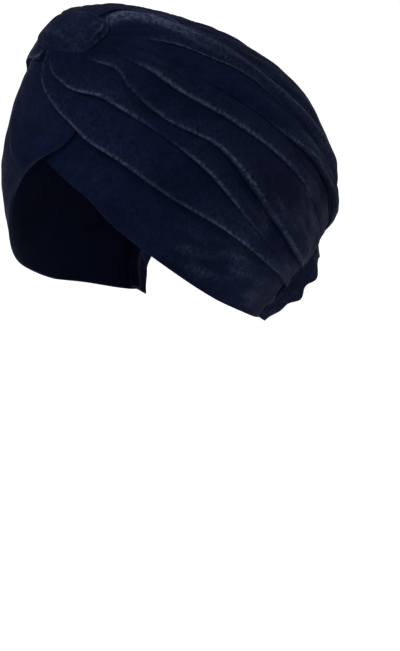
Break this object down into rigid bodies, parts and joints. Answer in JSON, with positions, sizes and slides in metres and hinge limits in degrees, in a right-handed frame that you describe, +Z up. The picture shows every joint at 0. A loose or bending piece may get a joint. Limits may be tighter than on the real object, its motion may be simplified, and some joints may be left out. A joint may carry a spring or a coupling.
{
  "type": "turban chemo cap",
  "caption": "Pre-tied velvet turban with smooth front bands crossing over the forehead, pleated wraps over the crown, a rounded front knot and a gathered nape edge.",
  "frame": {"origin": "crown seat, the point inside the cap that rests on the top of the head", "axes": "+Z up along the worn cap, the face opening towards -Y, the wearer's left towards +X"},
  "size_m": [0.1585, 0.2141, 0.1864],
  "materials": {
    "velvet": "dark navy velvet"
  },
  "bodies": {
    "root": {"left_front_panel": "velvet", "right_front_panel": "velvet", "left_wrap": "velvet", "crown_wrap": "velvet", "front_knot": "velvet", "nape_band": "velvet"}
  },
  "joints": []
}
